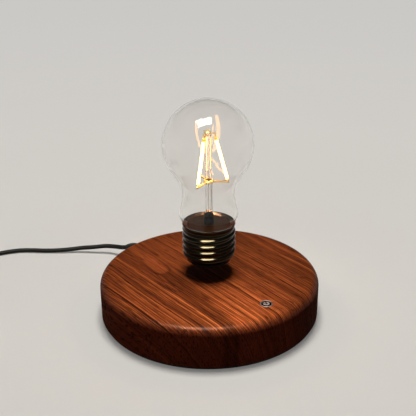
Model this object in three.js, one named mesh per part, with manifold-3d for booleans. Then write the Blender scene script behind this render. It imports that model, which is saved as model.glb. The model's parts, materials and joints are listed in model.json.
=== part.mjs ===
// Levitating lamp: a walnut base that holds a light bulb floating above its centre.
// Millimetres, +Z up. The origin is on the table under the centre of the base,
// the button is at the front (-Y) and the lead's socket at the back (+Y).
import * as THREE from "three";
import { mergeVertices } from "three/addons/utils/BufferGeometryUtils.js";
import Module from "manifold-3d";

const wasm = await Module();
wasm.setup();

const { clamp, degToRad, lerp, smoothstep } = THREE.MathUtils;
const full_turn = 2 * Math.PI;
const quarter_turn = Math.PI / 2;
const eighth_turn = Math.PI / 4;

// Driving dimensions of the base
const base_radius = 75;
const base_height = 30.2;
const edge_fillet = 6.4;
const wood_underside = 2.2;
const pocket_radius = 66;
const pocket_ceiling = 24;
const coil_recess_radius = 40;
const coil_recess_ceiling = 26.7;
const plate_radius = 73.8;
const plate_underside = 0.6;
const plate_top = 3.8;
const foot_radius = 7;
const foot_circle = 56;
const foot_top = 1.4;
const screw_circle = 70.2;
const screw_tip = 11.7;

// Driving dimensions of the electronics
const board_radius = 62;
const board_underside = 7;
const board_top = 8.6;
const stake_circle = 55;
const magnet_inner = 30;
const magnet_outer = 46;
const magnet_height = 10;
const bobbin_circle = 17.5;
const bobbin_radius = 11;
const bobbin_height = 13.8;
const beside_magnet = 54;

// Driving dimensions of the button
const button_circle = 57.9;
const button_radius = 3.2;
const button_bore = 4.25;
const bezel_radius = 4.15;
const bezel_proud = 0.4;

// Driving dimensions of the bulb, with heights from its lowest point
const levitation_gap = 10;
const globe_radius = 29.8;
const globe_centre = 81.6;
const globe_low = 66.8;
const glass_thickness = 0.8;
const rim_height = 27.4;
const rim_radius = 17.9;
const lip_radius = 16.9;
const thread_pitch = 4.47;
const thread_middle = 17.25;
const thread_depth = 0.65;
const ledge = 24.9;
const disc_floor = 26;
const disc_floor_radius = 14.9;
const disc_lip = 27.3;
const post_radius = 3.4;
const post_top = 33.7;
const cup_radius = 14.6;
const cup_floor = 1.4;

// Driving dimensions of the light source
const filament_count = 3;
const first_filament = degToRad(79);
const lit_bottom = new THREE.Vector2(12.4, 58.2);
const lit_top = new THREE.Vector2(5.3, 84.5);
const filament_radius = 0.85;
const stem_radius = 1.9;
const bottom_hub_top = 56.9;
const top_hub_underside = 89;

// Driving dimensions of the lead
const lead_diameter = 3.5;
const jack_height = 15;
const jack_face = 65.4;
const grip_end = 86;
const coil_pitch = 4;
const coil_layers = 4;
const coil_turns = 8.294;
const coil_mean_radius = 20;
const coil_centre = new THREE.Vector2(-119, 162);
const coil_start_angle = degToRad(74);
const tie_angle = degToRad(290);
const tie_thickness = 0.8;
const adapter_length = 52;
const adapter_width = 40;
const adapter_relief = 24;

// Gap between pieces that touch, and the chamfer on small edges
const gap = 0.3;
const edge = 0.4;

// Materials
const finish = (color, roughness, metalness) =>
  new THREE.MeshStandardMaterial({ color, roughness, metalness });
const walnut = finish(0x5a2f1b, 0.42, 0);
const black_plastic = finish(0x0c0b0a, 0.5, 0);
const black_rubber = finish(0x141313, 0.85, 0);
const circuit_board = finish(0x14401f, 0.45, 0.1);
const ferrite = finish(0x2a2a2c, 0.6, 0.3);
const copper = finish(0xb4622d, 0.35, 0.9);
const white_nylon = finish(0xd9d6cc, 0.55, 0);
const steel = finish(0xa9a9ad, 0.35, 1);
const mauve_metal = finish(0xb9a8a8, 0.3, 1);
const black_nickel = finish(0x1c1512, 0.12, 1);
const clear_glass = finish(0xf2efe9, 0.03, 0);
clear_glass.transparent = true;
clear_glass.opacity = 0.3;
const glowing_phosphor = finish(0xffb84d, 0.6, 0);
glowing_phosphor.emissive.set(0xff9a2e);
glowing_phosphor.emissiveIntensity = 2;

// A closed mesh: shared vertices, no empty triangles, faces pointing out
function closed(geometry) {
  const bare = geometry.clone();
  bare.deleteAttribute("normal");
  bare.deleteAttribute("uv");
  const merged = mergeVertices(bare, 1e-4);
  const [a, b, c] = [new THREE.Vector3(), new THREE.Vector3(), new THREE.Vector3()];
  const faces = [];
  let volume = 0;
  for (let i = 0; i < merged.index.count; i += 3) {
    const corners = [0, 1, 2].map((k) => merged.index.getX(i + k));
    if (new Set(corners).size < 3) continue;
    faces.push(...corners);
    a.fromBufferAttribute(merged.attributes.position, corners[0]);
    b.fromBufferAttribute(merged.attributes.position, corners[1]);
    c.fromBufferAttribute(merged.attributes.position, corners[2]);
    volume += a.dot(b.cross(c));
  }
  merged.setIndex(volume < 0 ? faces.reverse() : faces);
  return merged;
}

// A closed mesh from a list of coordinates and a list of corners
function closedMesh(positions, faces) {
  const geometry = new THREE.BufferGeometry();
  geometry.setAttribute("position", new THREE.Float32BufferAttribute(positions, 3));
  geometry.setIndex(faces);
  return closed(geometry);
}

function toManifold(geometry) {
  const { attributes, index } = closed(geometry);
  const vertProperties = new Float32Array(attributes.position.array);
  const triVerts = new Uint32Array(index.array);
  return new wasm.Manifold(new wasm.Mesh({ numProp: 3, vertProperties, triVerts }));
}

function fromManifold(manifold) {
  const mesh = manifold.getMesh();
  const geometry = new THREE.BufferGeometry();
  geometry.setAttribute("position", new THREE.BufferAttribute(mesh.vertProperties, 3));
  geometry.setIndex(new THREE.BufferAttribute(mesh.triVerts, 1));
  return geometry;
}

const cut = (body, tools) =>
  fromManifold(tools.reduce((rest, tool) => rest.subtract(toManifold(tool)), toManifold(body)));
const join = (body, others) =>
  fromManifold(others.reduce((whole, other) => whole.add(toManifold(other)), toManifold(body)));

// A solid of revolution about Z from [radius, height] points that start and end on the axis
function turned(points, segments) {
  const outline = points.map(([radius, height]) => new THREE.Vector2(radius, height));
  return closed(new THREE.LatheGeometry(outline, segments).rotateX(quarter_turn));
}

const turnedRing = (points, segments) => turned([...points, points[0]], segments);
const disc = (radius, low, high, segments) =>
  turned([[0, low], [radius, low], [radius, high], [0, high]], segments);
const ring = (inner, outer, low, high, segments) =>
  turnedRing([[inner, low], [outer, low], [outer, high], [inner, high]], segments);

function block(width, depth, low, high) {
  return new THREE.BoxGeometry(width, depth, high - low).translate(0, 0, (low + high) / 2);
}

const polar = (radius, angle) => [radius * Math.cos(angle), radius * Math.sin(angle)];
const moved = (geometry, [x, y]) => geometry.clone().translate(x, y, 0);

// Places on a circle, evenly spaced from the first angle
function onCircle(count, radius, first) {
  return Array.from({ length: count }, (_, k) => polar(radius, first + (k * full_turn) / count));
}

const around = (geometry, places) => places.map((place) => moved(geometry, place));

// Points of a quarter circle in [radius, height], from its outermost point to its top
function quarter(centre_radius, centre_height, radius, steps) {
  return Array.from({ length: steps + 1 }, (_, k) => {
    const [out, up] = polar(radius, (k * quarter_turn) / steps);
    return [centre_radius + out, centre_height + up];
  });
}

// A closed skin round an axis: pointAt(angle, step) gives [radius, height] on a closed section
function skin(pointAt, sides, section_count) {
  const positions = [];
  const faces = [];
  for (let i = 0; i < sides; i += 1) {
    const angle = (i * full_turn) / sides;
    for (let j = 0; j < section_count; j += 1) {
      const [radius, height] = pointAt(angle, j);
      positions.push(...polar(radius, angle), height);
      const here = i * section_count;
      const next = ((i + 1) % sides) * section_count;
      const after = (j + 1) % section_count;
      faces.push(here + j, next + j, next + after, here + j, next + after, here + after);
    }
  }
  return closedMesh(positions, faces);
}

// A round tube along a curve
function tube(curve, radius, sides, steps) {
  const section = new THREE.Shape(onCircle(sides, radius, 0).map(([x, y]) => new THREE.Vector2(x, y)));
  return closed(new THREE.ExtrudeGeometry(section, { steps, extrudePath: curve, bevelEnabled: false }));
}

// A tapered tube along a curve, closed at both ends
function taperedTube(curve, first_radius, last_radius, sides, steps) {
  const { normals, binormals } = curve.computeFrenetFrames(steps, false);
  const positions = [];
  const faces = [];
  for (let i = 0; i <= steps; i += 1) {
    const centre = curve.getPointAt(i / steps);
    const radius = lerp(first_radius, last_radius, i / steps);
    for (let j = 0; j < sides; j += 1) {
      const [u, v] = polar(radius, (j * full_turn) / sides);
      positions.push(...centre.clone().addScaledVector(normals[i], u).addScaledVector(binormals[i], v));
      if (i === steps) continue;
      const here = i * sides + j;
      const beside = i * sides + ((j + 1) % sides);
      faces.push(here, beside, beside + sides, here, beside + sides, here + sides);
    }
  }
  const last = steps * sides;
  for (let j = 1; j < sides - 1; j += 1) {
    faces.push(0, j + 1, j, last, last + j, last + j + 1);
  }
  return closedMesh(positions, faces);
}

// The model's groups
const lamp = new THREE.Group();
const base = new THREE.Group();
const button = new THREE.Group();
const bulb = new THREE.Group();
const lead = new THREE.Group();
button.position.set(0, -button_circle, 0);
bulb.position.set(0, 0, base_height + levitation_gap);
lamp.add(base, button, bulb, lead);

function add(parent, name, geometry, material) {
  const mesh = new THREE.Mesh(geometry, material);
  mesh.name = name;
  parent.add(mesh);
  return mesh;
}

// Wooden base, hollow from below, with bores for the button, the plug and the plate's screws
const screw_places = onCircle(4, screw_circle, eighth_turn);
const screw_bore = 1.6;
const plug_bore = 6;
const base_sides = 64;
const fillet_steps = 6;

function woodBase() {
  const bottom_chamfer = 0.8;
  const body = turned([
    [0, coil_recess_ceiling],
    [coil_recess_radius, coil_recess_ceiling],
    [coil_recess_radius, pocket_ceiling],
    [pocket_radius, pocket_ceiling],
    [pocket_radius, wood_underside],
    [base_radius - bottom_chamfer, wood_underside],
    [base_radius, wood_underside + bottom_chamfer],
    ...quarter(base_radius - edge_fillet, base_height - edge_fillet, edge_fillet, fillet_steps),
    [0, base_height],
  ], base_sides);
  const plug_hole = disc(plug_bore, pocket_radius - 4, base_radius + 4, 20)
    .rotateX(-quarter_turn)
    .translate(0, 0, jack_height);
  const button_hole = moved(disc(button_bore, pocket_ceiling - 1, base_height + 1, 24), [0, -button_circle]);
  const screw_hole = disc(screw_bore, wood_underside - 1, screw_tip + gap, 10);
  return cut(body, [plug_hole, button_hole, ...around(screw_hole, screw_places)]);
}

add(base, "wood_base", woodBase(), walnut);

// Bottom plate, with recesses for the feet, countersunk holes and stakes that hold the main board
const foot_places = onCircle(4, foot_circle, 0);
const stake_places = onCircle(4, stake_circle, eighth_turn);
const stake_radius = 3.2;
const stake_neck = 1.4;
const screw_head = 2.8;
const countersink_top = 1.8;

function basePlate() {
  const rim = pocket_radius - edge;
  const body = turned([
    [0, plate_underside],
    [plate_radius - edge, plate_underside],
    [plate_radius, plate_underside + edge],
    [plate_radius, wood_underside],
    [rim, wood_underside],
    [rim, plate_top],
    [0, plate_top],
  ], 48);
  const stake = turned([
    [0, plate_top - 1],
    [stake_radius, plate_top - 1],
    [stake_radius, board_underside],
    [stake_neck, board_underside],
    [stake_neck, board_top + gap],
    [0, board_top + 4 * gap],
  ], 12);
  const foot_recess = disc(foot_radius + gap, 0, foot_top, 20);
  const screw_hole = turned([
    [0, 0],
    [screw_head + gap, 0],
    [screw_head + gap, plate_underside],
    [screw_bore, countersink_top],
    [screw_bore, plate_top],
    [0, plate_top],
  ], 10);
  const holes = [...around(foot_recess, foot_places), ...around(screw_hole, screw_places)];
  return cut(join(body, around(stake, stake_places)), holes);
}

add(base, "base_plate", basePlate(), black_plastic);

// Rubber feet
const foot = turned([
  [0, 0],
  [foot_radius - edge, 0],
  [foot_radius, edge],
  [foot_radius, foot_top],
  [0, foot_top],
], 20);
foot_places.forEach(([x, y], k) => add(base, `foot_${k + 1}`, foot, black_rubber).position.set(x, y, 0));

// Countersunk screws that hold the plate to the wood
const screw_shank = 1.3;
const screw_sunk = 0.1;
const screw = turned([
  [0, plate_underside + screw_sunk],
  [screw_head - screw_sunk, plate_underside + screw_sunk],
  [screw_shank, countersink_top + screw_sunk],
  [screw_shank, screw_tip - screw_shank],
  [0, screw_tip],
], 10);
screw_places.forEach(([x, y], k) => add(base, `plate_screw_${k + 1}`, screw, steel).position.set(x, y, 0));

// Main board, on its stakes
const stake_hole = disc(stake_neck + gap, board_underside - 1, board_top + 1, 12);
const board = cut(disc(board_radius, board_underside, board_top, 40), around(stake_hole, stake_places));
add(base, "main_board", board, circuit_board);

// Ring magnet that carries the bulb's weight
add(base, "ring_magnet", ring(magnet_inner, magnet_outer, board_top, board_top + magnet_height, 40), ferrite);

// Control coils, each a winding on a bobbin
const flange = 1;
const bobbin_hole = 2.5;
const bobbin_core = 4.5;
const winding_inset = 0.6;
const bobbin = turnedRing([
  [bobbin_hole, 0],
  [bobbin_radius, 0],
  [bobbin_radius, flange],
  [bobbin_core, flange],
  [bobbin_core, bobbin_height - flange],
  [bobbin_radius, bobbin_height - flange],
  [bobbin_radius, bobbin_height],
  [bobbin_hole, bobbin_height],
], 12);
const winding_low = flange + gap;
const winding_radius = bobbin_radius - winding_inset;
const winding = ring(bobbin_core + gap, winding_radius, winding_low, bobbin_height - winding_low, 12);
onCircle(4, bobbin_circle, eighth_turn).forEach(([x, y], k) => {
  add(base, `coil_bobbin_${k + 1}`, bobbin, white_nylon).position.set(x, y, board_top);
  add(base, `coil_winding_${k + 1}`, winding, copper).position.set(x, y, board_top);
});

// Sensor between the coils, and the chips beside the magnet
const board_chips = [
  { name: "hall_sensor", width: 6.4, depth: 6.4, height: 8, x: 0 },
  { name: "controller_chip", width: 10, depth: 10, height: 1.6, x: beside_magnet },
  { name: "coil_driver", width: 9, depth: 7, height: 2, x: -beside_magnet },
];
for (const { name, width, depth, height, x } of board_chips) {
  add(base, name, block(width, depth, 0, height), black_plastic).position.set(x, 0, board_top);
}

// Capacitor that smooths the coils' supply
const capacitor_radius = 4;
const capacitor_height = 11.4;
const capacitor_angle = degToRad(126);
const capacitor = turned([
  [0, 0],
  [capacitor_radius, 0],
  [capacitor_radius, capacitor_height - edge],
  [capacitor_radius - edge, capacitor_height],
  [0, capacitor_height],
], 14);
add(base, "smoothing_capacitor", capacitor, steel)
  .position.set(...polar(beside_magnet, capacitor_angle), board_top);

// Coil that feeds the bulb through the air, on its carrier under the wood
const carrier_thickness = 1;
const carrier_top = board_top + bobbin_height + carrier_thickness;
const carrier = disc(coil_recess_radius - 2 * gap, carrier_top - carrier_thickness, carrier_top, 32);
const power_coil = ring(22, coil_recess_radius - 2, carrier_top, carrier_top + 2.2, 32);
add(base, "coil_carrier", carrier, white_nylon);
add(base, "power_coil", power_coil, copper);

// Socket for the lead, with its centre pin
function dcJack() {
  const width = 9;
  const depth = 14.4;
  const pocket_depth = 11;
  const socket_radius = 3.2;
  const pin_radius = 1;
  const pocket_end = jack_face - pocket_depth;
  const along_y = (tool) => tool.rotateX(-quarter_turn).translate(0, 0, jack_height);
  const housing = block(width, depth, board_top, board_top + 11).translate(0, jack_face - depth / 2, 0);
  const pocket = along_y(disc(socket_radius, pocket_end, jack_face + 1, 16));
  const pin = along_y(disc(pin_radius, pocket_end - 1, jack_face - 1.5, 8));
  return join(cut(housing, [pocket]), [pin]);
}

add(base, "dc_jack", dcJack(), black_plastic);

// Push button: a ring in the wood, a cap held in by its flange, and a tactile switch on a riser
const riser_top = 18.6;
const switch_top = 22;
const switch_width = 6.2;
const plunger_radius = 1.7;
const plunger_top = switch_top + 1;
const cap_top = base_height + bezel_proud / 2;
const cap_flange = 4;
const cap_edge = 0.2;
const bezel_foot = pocket_ceiling + gap;
const bezel_bore = button_radius + gap;
const bezel_body = button_bore - gap;
const bezel_top = base_height + bezel_proud;
const bezel_edge = 0.15;
const bezel = turnedRing([
  [bezel_bore, bezel_foot],
  [bezel_body, bezel_foot],
  [bezel_body, base_height - gap],
  [bezel_radius, base_height - gap],
  [bezel_radius, bezel_top - bezel_edge],
  [bezel_radius - bezel_edge, bezel_top],
  [bezel_bore + bezel_edge, bezel_top],
  [bezel_bore, bezel_top - bezel_edge],
], 24);
const cap = turned([
  [0, plunger_top + gap],
  [cap_flange, plunger_top + gap],
  [cap_flange, bezel_foot - gap],
  [button_radius, bezel_foot - gap],
  [button_radius, cap_top - cap_edge],
  [button_radius - cap_edge, cap_top],
  [0, cap_top],
], 24);
const switch_hole = disc(plunger_radius + gap, riser_top - 1, plunger_top, 12);
const switch_housing = cut(block(switch_width, switch_width, riser_top, switch_top), [switch_hole]);
add(button, "button_bezel", bezel, mauve_metal);
add(button, "button_cap", cap, black_plastic);
add(button, "switch_plunger", disc(plunger_radius, riser_top + 0.8, plunger_top, 12), white_nylon);
add(button, "tact_switch", switch_housing, steel);
add(button, "switch_riser", disc(3.9, board_top, riser_top, 12), black_plastic);

// Glass envelope: a globe that runs into a waisted neck, open where it stands on the cap
const neck = new THREE.SplineCurve([
  new THREE.Vector2(17.6, rim_height),
  new THREE.Vector2(19.0, 30.6),
  new THREE.Vector2(19.7, 34.0),
  new THREE.Vector2(18.6, 40.2),
  new THREE.Vector2(17.4, 47.0),
  new THREE.Vector2(18.3, 54.2),
  new THREE.Vector2(21.7, 60.4),
  new THREE.Vector2(Math.sqrt(globe_radius ** 2 - (globe_centre - globe_low) ** 2), globe_low),
]);
const glass_sides = 32;
const neck_steps = 10;
const globe_steps = 9;

// The glass's outline, inset from its outer face
function glassOutline(inset) {
  const points = [];
  for (let k = 0; k < neck_steps; k += 1) {
    const at = neck.getPoint(k / neck_steps);
    const along = neck.getTangent(k / neck_steps);
    const square = k === 0 ? [-inset, 0] : [-inset * along.y, inset * along.x];
    points.push([at.x + square[0], at.y + square[1]]);
  }
  const start = Math.asin((globe_low - globe_centre) / globe_radius);
  for (let k = 0; k < globe_steps; k += 1) {
    const [out, up] = polar(globe_radius - inset, lerp(start, quarter_turn, k / globe_steps));
    points.push([out, globe_centre + up]);
  }
  points.push([0, globe_centre + globe_radius - inset]);
  return points;
}

function glassEnvelope() {
  const inner_outline = glassOutline(glass_thickness);
  const inner_foot = inner_outline[0][0];
  const outer = turned([[0, rim_height], ...glassOutline(0)], glass_sides);
  const inner = turned([[0, rim_height - 1], [inner_foot, rim_height - 1], ...inner_outline], glass_sides);
  return cut(outer, [inner]);
}

add(bulb, "glass_envelope", glassEnvelope(), clear_glass);

// Threaded cap shell: a right-hand rounded thread between a tapered foot and a rolled rim
const thread_low = 4.6;
const thread_high = 24.6;
const thread_fade = 1.6;
const crest_at_zero_angle = 3.6;
const thread_steps = 22;
const shell_foot = 2.2;
const shell_inner = 15.7;
const below_thread = [
  [14.9, shell_foot],
  [15.5, shell_foot],
  [16.3, 3.4],
];
const above_thread = [
  [17.5, 25.3],
  [rim_radius, 26.3],
  [rim_radius + 0.1, 26.9],
  [rim_radius - 0.1, rim_height],
  [lip_radius, rim_height],
  [lip_radius, ledge],
  [shell_inner, ledge],
  [shell_inner, 5.2],
];

function shellPoint(angle, step) {
  if (step < below_thread.length) return below_thread[step];
  const row = step - below_thread.length;
  if (row > thread_steps) return above_thread[row - thread_steps - 1];
  const height = lerp(thread_low, thread_high, row / thread_steps);
  const low_fade = smoothstep(height, thread_low, thread_low + thread_fade);
  const high_fade = 1 - smoothstep(height, thread_high - thread_fade, thread_high);
  const wave = Math.cos((full_turn * (height - crest_at_zero_angle)) / thread_pitch - angle);
  return [thread_middle + thread_depth * wave * low_fade * high_fade, height];
}

const shell_section = below_thread.length + thread_steps + 1 + above_thread.length;
add(bulb, "cap_shell", skin(shellPoint, 32, shell_section), black_nickel);

// Dished disc that closes the cap under the glass, and the post in its middle
const cap_disc = turned([
  [0, ledge],
  [lip_radius - gap, ledge],
  [lip_radius - gap, disc_lip],
  [lip_radius - 2 * gap, disc_lip],
  [disc_floor_radius, disc_floor],
  [0, disc_floor],
], 32);
const post = turned([
  [0, disc_floor],
  [post_radius, disc_floor],
  [post_radius, post_top - edge],
  [post_radius - edge, post_top],
  [0, post_top],
], 14);
add(bulb, "cap_disc", cap_disc, black_nickel);
add(bulb, "stem_post", post, black_plastic);

// Glass stem with a flared foot and one wire inside it, and the other wire beside it
const stem_bore = 1.2;
const stem_top = top_hub_underside - edge;
const flare_radius = 2.3;
const flare_height = 1.6;
const wire_radius = 0.3;
const second_wire = flare_radius + 2 * gap;
const hub_foot = bottom_hub_top - 1.2;
const stem = turnedRing([
  [stem_bore, post_top],
  [flare_radius, post_top],
  [stem_radius, post_top + flare_height],
  [stem_radius, stem_top],
  [stem_bore, stem_top],
], 12);
add(bulb, "glass_stem", stem, clear_glass);
add(bulb, "lead_wire_1", disc(wire_radius, post_top, stem_top - gap, 6), steel);
add(bulb, "lead_wire_2", disc(wire_radius, post_top, hub_foot - gap, 6), steel)
  .position.set(second_wire, 0, 0);

// Metal hubs, each with one arm for each filament
const arm_width = 1.3;
const arm_thickness = 0.6;

function armed(body, inner, outer, low) {
  const length = outer - inner;
  const arm = block(length, arm_width, low, low + arm_thickness).translate(inner + length / 2, 0, 0);
  const arms = [];
  for (let k = 0; k < filament_count; k += 1) {
    arms.push(arm.clone().rotateZ(first_filament + (k * full_turn) / filament_count));
  }
  return join(body, arms);
}

const bottom_ring_radius = 3.3;
const top_ring_radius = 2.3;
const bottom_ring = ring(stem_radius + gap, bottom_ring_radius, hub_foot, bottom_hub_top + 0.5, 12);
const arm_root = bottom_ring_radius - 2 * gap;
const bottom_hub = armed(bottom_ring, arm_root, lit_bottom.x + 1, bottom_hub_top - arm_thickness);
const tip_radius = 0.6;
const top_cap = turned([
  [0, stem_top],
  [top_ring_radius, stem_top],
  [top_ring_radius, top_hub_underside + 1],
  [tip_radius, top_hub_underside + 1.4],
  [tip_radius - 0.1, top_hub_underside + 3.2],
  [0, top_hub_underside + 3.4],
], 12);
const top_hub = armed(top_cap, 1, lit_top.x, top_hub_underside);
add(bulb, "bottom_hub", bottom_hub, steel);
add(bulb, "top_hub", top_hub, steel);

// Filaments, leaning in towards the top hub
const lit_length = lit_top.distanceTo(lit_bottom);
const lean = Math.atan2(lit_bottom.x - lit_top.x, lit_top.y - lit_bottom.y);
const tab_foot = 0.1 - (lit_bottom.y - bottom_hub_top - gap) / Math.cos(lean);
const tab_top = lit_length + (top_hub_underside - gap - lit_top.y) / Math.cos(lean) - 0.1;
const tab_radius = 0.4;
const rod_end_radius = 0.65;
const filament = turned([
  [0, tab_foot],
  [tab_radius, tab_foot],
  [tab_radius, -0.6],
  [rod_end_radius, -0.6],
  [filament_radius, -0.2],
  [filament_radius, lit_length + 2],
  [rod_end_radius, lit_length + 2.4],
  [tab_radius, lit_length + 2.4],
  [tab_radius, tab_top],
  [0, tab_top],
], 8);
for (let k = 0; k < filament_count; k += 1) {
  const holder = new THREE.Group();
  holder.rotation.z = first_filament + (k * full_turn) / filament_count;
  bulb.add(holder);
  const rod = add(holder, `filament_${k + 1}`, filament, glowing_phosphor);
  rod.position.set(lit_bottom.x, 0, lit_bottom.y);
  rod.rotation.y = -lean;
}

// Insulating cup under the cap, with the bulb's magnet and its receiving coil
const cup_lip = shell_foot - gap;
const cup_top = 9;
const cup_wall = 0.7;
const magnet_top = cup_floor + 9;
const cup = turned([
  [0, 0],
  [14.2, 0],
  [15, cup_wall],
  [15.2, cup_lip],
  [cup_radius, cup_lip],
  [cup_radius, cup_top],
  [cup_radius - cup_wall, cup_top],
  [cup_radius - cup_wall, cup_floor],
  [0, cup_floor],
], 32);
add(bulb, "insulator_cup", cup, black_plastic);
add(bulb, "float_magnet", disc(10.8, cup_floor, magnet_top, 24), steel);
add(bulb, "receiver_coil", ring(11.2, 13.5, cup_floor, cup_floor + 4, 20), copper);

// Spacer and driver board above the magnet
const spacer_top = 19;
const driver_board_top = spacer_top + 1.2;
add(bulb, "inner_spacer", ring(10, cup_radius, magnet_top + gap, spacer_top, 20), white_nylon);
add(bulb, "driver_board", disc(cup_radius, spacer_top, driver_board_top, 20), circuit_board);
add(bulb, "driver_capacitor", disc(3, driver_board_top, ledge - 0.8, 12), steel);

// Plug in the socket: a metal barrel and the moulded grip
const plug = new THREE.Group();
plug.position.set(0, 0, jack_height);
plug.rotation.x = -quarter_turn;
lead.add(plug);
const grip_start = pocket_radius - gap;
const grip_radius = 5;
const barrel_length = 9.5;
const grip = turned([
  [0, grip_start],
  [grip_radius - edge, grip_start],
  [grip_radius, grip_start + edge],
  [grip_radius, grip_end - 2.5],
  [grip_radius - 0.8, grip_end],
  [0, grip_end],
], 16);
add(plug, "plug_barrel", ring(1.3, 2.75, grip_start - gap - barrel_length, grip_start - gap, 12), steel);
add(plug, "plug_grip", grip, black_plastic);

// Strain relief, bending down under the lead's weight
const relief_route = new THREE.CatmullRomCurve3([
  new THREE.Vector3(0, grip_end + gap, jack_height),
  new THREE.Vector3(0, 92, jack_height - 0.4),
  new THREE.Vector3(-0.1, 98, jack_height - 2),
  new THREE.Vector3(-0.5, 104, jack_height - 4.8),
], false, "catmullrom", 0.5);
add(lead, "strain_relief", taperedTube(relief_route, 3.3, 2.2, 10, 6), black_rubber);

// The coil's size and where the lead comes into it
const off_table = 0.05;
const coil_low = lead_diameter / 2 + off_table;
const radial_span = (coil_pitch * coil_turns) / coil_layers;
const coil_outer_radius = coil_mean_radius + radial_span / 2;
const coil_start = new THREE.Vector2(...polar(coil_outer_radius, coil_start_angle)).add(coil_centre);
const coil_heading = new THREE.Vector2(-Math.sin(coil_start_angle), Math.cos(coil_start_angle));
const straight_end = coil_start.clone().addScaledVector(coil_heading, -lead_diameter - gap);
const straight_start = straight_end.clone().addScaledVector(coil_heading, -6);

// Free stretch of the lead, down to the table and off to the left, as far as the coil
const lead_route = new THREE.CatmullRomCurve3([
  new THREE.Vector3(-0.52, 104.27, 10.07),
  new THREE.Vector3(-1.7, 110.4, 7.9),
  new THREE.Vector3(-4.4, 117.3, 6.9),
  new THREE.Vector3(-9, 124.2, 6.2),
  new THREE.Vector3(-15.3, 129.9, 5.2),
  new THREE.Vector3(-23.5, 138, 3.8),
  new THREE.Vector3(-33, 145, 2.6),
  new THREE.Vector3(-41.2, 151.6, 1.9),
  new THREE.Vector3(-48.4, 157.6, coil_low),
  new THREE.Vector3(-55.3, 164.2, coil_low),
  new THREE.Vector3(-62.8, 169.8, coil_low),
  new THREE.Vector3(-70.8, 173.3, coil_low),
  new THREE.Vector3(-80, 175.9, coil_low),
  new THREE.Vector3(-90, 178.7, coil_low),
  new THREE.Vector3(straight_start.x, straight_start.y, coil_low),
  new THREE.Vector3(straight_end.x, straight_end.y, coil_low),
], false, "catmullrom", 0.5);
add(lead, "cord_run", tube(lead_route, lead_diameter / 2, 8, 24), black_rubber);

// Coil of the lead: it spirals in and out in layers, climbs where the spiral reverses,
// and passes over the tie that goes under it
const tie_lift = tie_thickness + gap;
const tie_spread = 0.7;

class CoilRoute extends THREE.Curve {
  constructor(straight) {
    super();
    this.straight = straight;
    this.arcLengthDivisions = 4000;
  }

  static at(turns) {
    const per_layer = coil_turns / coil_layers;
    const inward = per_layer - Math.abs((turns % (2 * per_layer)) - per_layer);
    const angle = coil_start_angle + full_turn * turns;
    const from_tie = Math.abs(((angle - tie_angle + 9 * Math.PI) % full_turn) - Math.PI);
    let height = coil_low + tie_lift * Math.exp(-((from_tie / tie_spread) ** 2));
    for (let layer = 1; layer < coil_layers; layer += 1) {
      height += coil_pitch * smoothstep(turns, layer * per_layer - 0.25, layer * per_layer + 0.25);
    }
    const [x, y] = polar(coil_outer_radius - coil_pitch * inward, angle);
    return new THREE.Vector3(coil_centre.x + x, coil_centre.y + y, height);
  }

  getPoint(t, target = new THREE.Vector3()) {
    const round = coil_turns * full_turn * coil_mean_radius;
    const along = t * (round + 2 * this.straight) - this.straight;
    const turns = clamp(along / round, 0, 1) * coil_turns;
    const angle = coil_start_angle + full_turn * turns;
    const beyond = along < 0 ? along : Math.max(along - round, 0);
    const heading = new THREE.Vector3(-Math.sin(angle), Math.cos(angle), 0);
    return target.copy(CoilRoute.at(turns)).addScaledVector(heading, beyond);
  }
}

const coil_route = new CoilRoute(lead_diameter);
const coil_steps = Math.round(24 * coil_turns) + 2;
add(lead, "cord_coil", tube(coil_route, lead_diameter / 2, 6, coil_steps), black_rubber);

// Least gap between turns of the coil, measured on points
function leastGap() {
  const per_turn = 48;
  const count = Math.floor(coil_turns * per_turn);
  const points = Array.from({ length: count + 1 }, (_, k) => CoilRoute.at(k / per_turn));
  let least = Infinity;
  for (let i = 0; i < points.length; i += 1) {
    for (let j = i + per_turn / 4; j < points.length; j += 1) {
      least = Math.min(least, points[i].distanceTo(points[j]));
    }
  }
  return least - lead_diameter;
}

const lead_length = lead_route.getLength() + coil_route.getLength();
console.log(`coil's least gap to itself ${leastGap().toFixed(2)} mm`);
console.log(`lead's length ${lead_length.toFixed(0)} mm`);

// Outline of a rectangle with round corners
function roundedRectangle(path, width, height, corner) {
  const across = width / 2 - corner;
  const up = height / 2 - corner;
  path.absarc(across, up, corner, 0, quarter_turn);
  path.absarc(-across, up, corner, quarter_turn, 2 * quarter_turn);
  path.absarc(-across, -up, corner, 2 * quarter_turn, 3 * quarter_turn);
  path.absarc(across, -up, corner, 3 * quarter_turn, full_turn);
  path.closePath();
  return path;
}

// Tie round the coil
function cordTie() {
  const tie_width = 6;
  const tie_corner = 2;
  const inside_width = radial_span + lead_diameter + 2 * gap;
  const inside_height = (coil_layers - 1) * coil_pitch + lead_diameter + 2 * gap;
  const outside_width = inside_width + 2 * tie_thickness;
  const outside_height = inside_height + 2 * tie_thickness;
  const outline = roundedRectangle(new THREE.Shape(), outside_width, outside_height, tie_corner);
  const hole = roundedRectangle(new THREE.Path(), inside_width, inside_height, tie_corner - tie_thickness);
  outline.holes.push(hole);
  const settings = { depth: tie_width, curveSegments: 3, bevelEnabled: false };
  return closed(new THREE.ExtrudeGeometry(outline, settings)
    .translate(0, 0, -tie_width / 2)
    .rotateX(quarter_turn)
    .translate(coil_mean_radius, 0, outside_height / 2 + off_table));
}

const tie = add(lead, "cord_tie", cordTie(), black_plastic);
tie.position.set(coil_centre.x, coil_centre.y, 0);
tie.rotation.z = tie_angle;

// Mains adapter beside the coil, with its strain relief, level with the coil's top layer
const adapter = new THREE.Group();
const coil_top = coil_low + (coil_layers - 1) * coil_pitch;
const adapter_x = coil_centre.x - coil_outer_radius;
const adapter_y = coil_centre.y - lead_diameter - gap - adapter_relief;
adapter.position.set(adapter_x, adapter_y, 0);
lead.add(adapter);

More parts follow.
